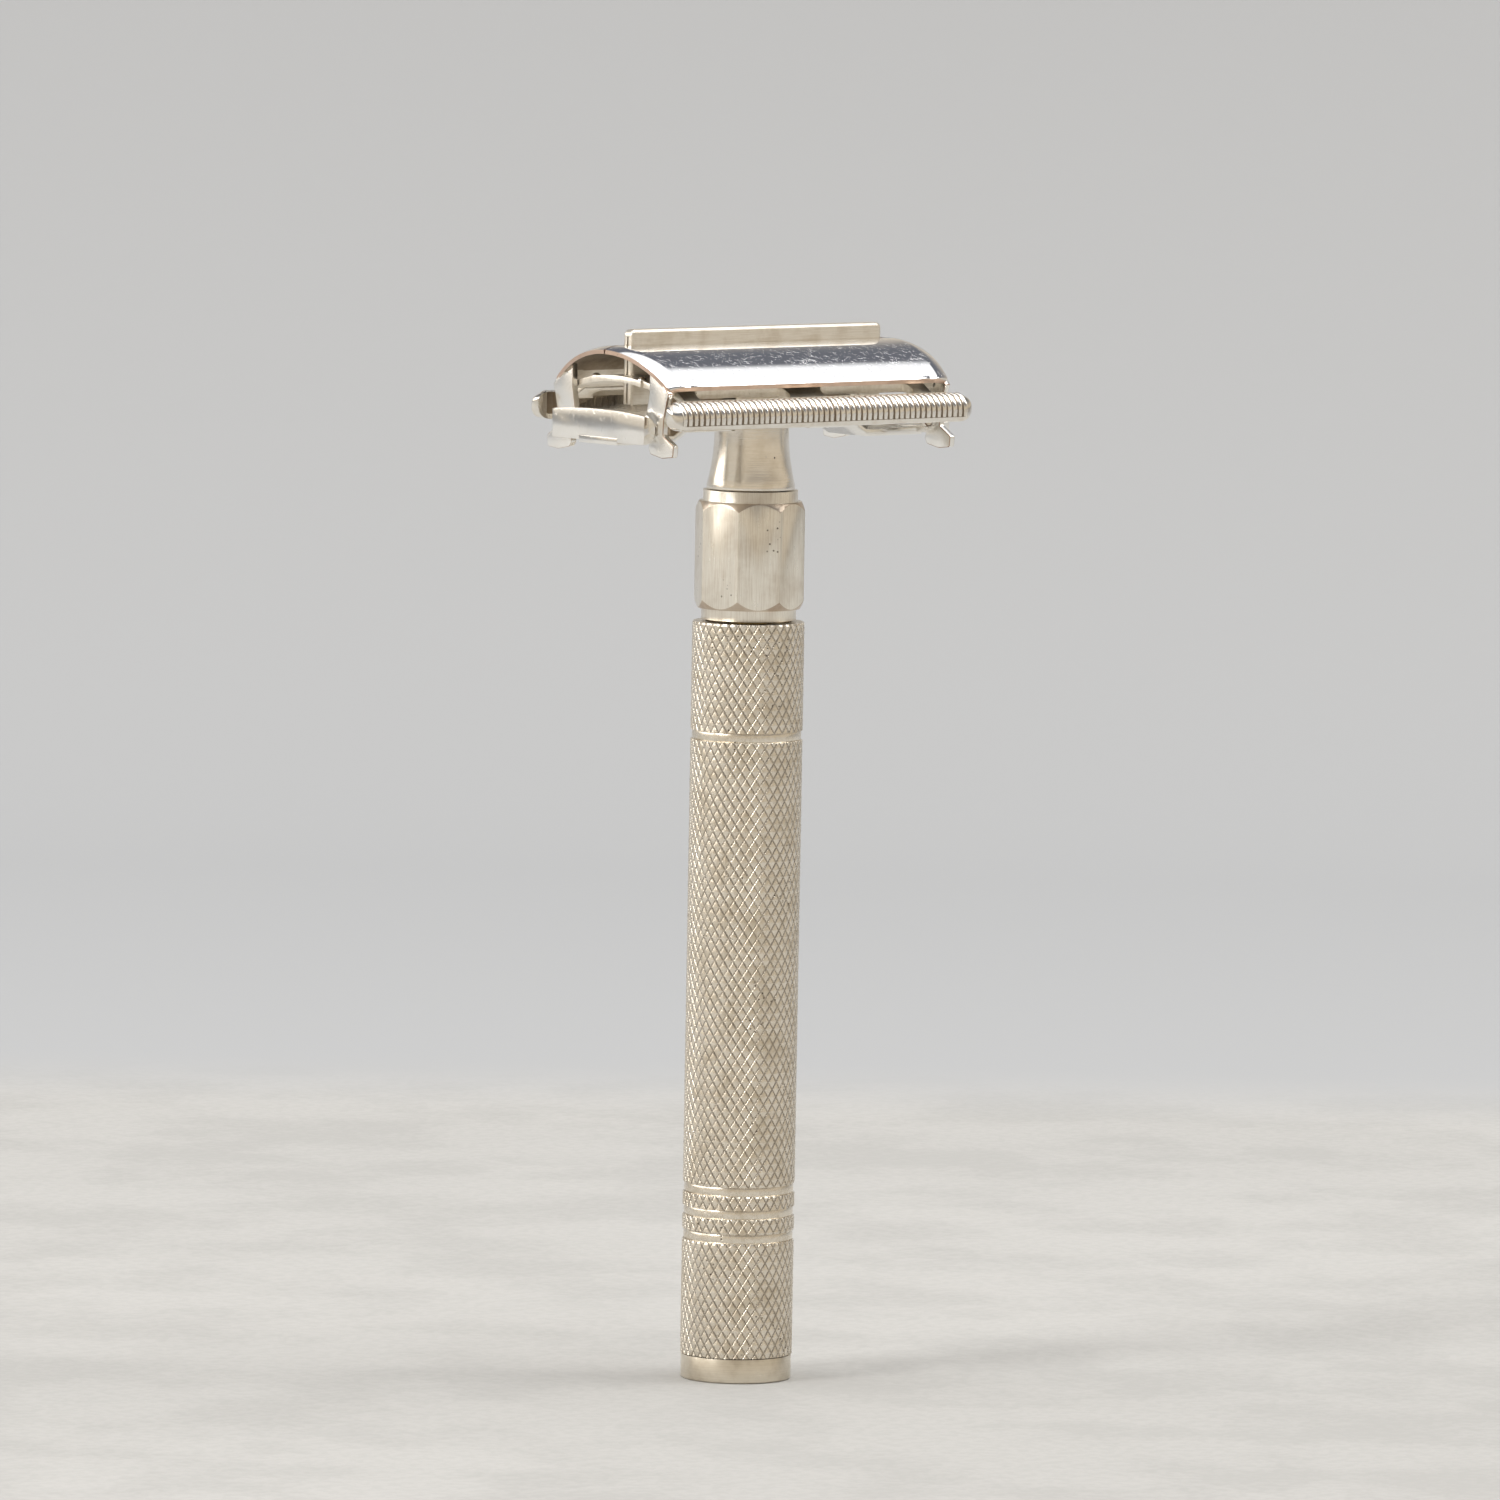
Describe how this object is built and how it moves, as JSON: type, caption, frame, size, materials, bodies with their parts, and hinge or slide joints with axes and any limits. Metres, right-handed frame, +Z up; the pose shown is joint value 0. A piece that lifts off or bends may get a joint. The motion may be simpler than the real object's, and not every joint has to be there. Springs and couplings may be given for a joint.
{
  "type": "safety razor",
  "caption": "Double-edge safety razor with a knurled handle that twists to lift a ridge and swing two arched doors open.",
  "frame": {"origin": "middle of the end cap's lower face, on the handle's axis, where the razor stands", "axes": "+Z up the handle to the head, X along the head, the front guard bar on the -Y side"},
  "size_m": [0.043, 0.0254, 0.1148],
  "materials": {
    "handle_nickel": "nickel-plated brass, knurled, satin and slightly warm",
    "cap_nickel": "nickel-plated brass, turned, satin",
    "collar_nickel": "nickel-plated brass, brushed along the flats",
    "neck_nickel": "nickel-plated brass, turned, satin with small pits",
    "guard_nickel": "bright nickel plate, ribbed bars",
    "bright_nickel": "polished nickel plate",
    "spine_nickel": "nickel plate, satin faces and a worn bright edge",
    "inner_nickel": "dull nickel plate with a brown tarnish",
    "ear_nickel": "nickel plate over rough stamped metal",
    "door_chrome": "mirror-bright plate with fine scratches",
    "raw_brass": "bare brass",
    "steel": "drawn steel"
  },
  "bodies": {
    "head_frame": {"guard_plate": "guard_nickel", "blade_studs": "bright_nickel", "neck": "neck_nickel", "neck_rivets": "raw_brass", "collar": "collar_nickel", "thrust_washer": "raw_brass", "retaining_ring": "steel"},
    "handle": {"handle_sleeve": "handle_nickel", "end_cap": "cap_nickel", "screw_socket": "raw_brass", "drive_pin": "steel", "lead_screw": "steel"},
    "carriage": {"spine": "spine_nickel", "spine_carrier": "inner_nickel", "cross_bar": "inner_nickel", "left_end_tab": "bright_nickel", "right_end_tab": "bright_nickel", "hinge_pins": "steel", "lift_rod": "inner_nickel", "rod_rivet": "raw_brass"},
    "front_door": {"front_door": "door_chrome", "front_door_ears": "ear_nickel"},
    "rear_door": {"rear_door": "door_chrome", "rear_door_ears": "ear_nickel"}
  },
  "joints": [
    {"name": "handle_turn", "type": "hinge", "parent": "head_frame", "child": "handle", "pos_m": [0, 0, 0.08295], "axis": [0, 0, -1], "range_deg": [0, 600]},
    {"name": "carriage_lift", "type": "slide", "parent": "head_frame", "child": "carriage", "axis": [0, 0, 1], "range_m": [0, 0.00417]},
    {"name": "front_door_swing", "type": "hinge", "parent": "carriage", "child": "front_door", "pos_m": [0, -0.0071, 0.10444], "axis": [1, 0, 0], "range_deg": [0, 62]},
    {"name": "rear_door_swing", "type": "hinge", "parent": "carriage", "child": "rear_door", "pos_m": [0, 0.0071, 0.10444], "axis": [-1, 0, 0], "range_deg": [0, 62]}
  ],
  "couplings": [
    {"joint": "carriage_lift", "follows": "handle_turn", "m_per_rad": 0.00039792},
    {"joint": "front_door_swing", "follows": "handle_turn", "ratio": 0.10333},
    {"joint": "rear_door_swing", "follows": "handle_turn", "ratio": 0.10333}
  ]
}
